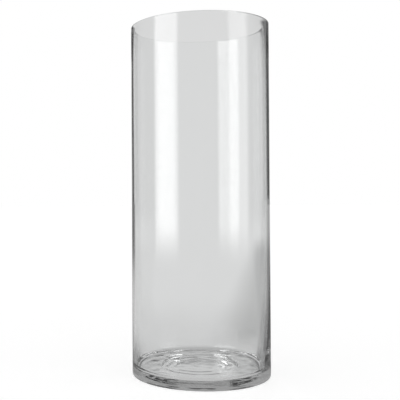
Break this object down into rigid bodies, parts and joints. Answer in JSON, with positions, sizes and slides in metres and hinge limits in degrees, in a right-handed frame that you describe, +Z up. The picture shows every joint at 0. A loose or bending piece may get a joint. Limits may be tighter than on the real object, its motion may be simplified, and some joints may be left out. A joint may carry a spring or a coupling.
{
  "type": "cylinder vase",
  "caption": "Tall straight-sided clear glass vase with a thick base, a thin wall and a rounded, fire-polished rim.",
  "frame": {"origin": "centre of the foot, on the surface that the vase stands on", "axes": "+Z up along the vase's axis; it is round, so X and Y are any two level directions"},
  "size_m": [0.1206, 0.1206, 0.305],
  "materials": {
    "clear_glass": "clear, smooth and glossy, faintly grey where it is thick"
  },
  "bodies": {
    "root": {"base": "clear_glass", "wall": "clear_glass", "rim": "clear_glass"}
  },
  "joints": []
}
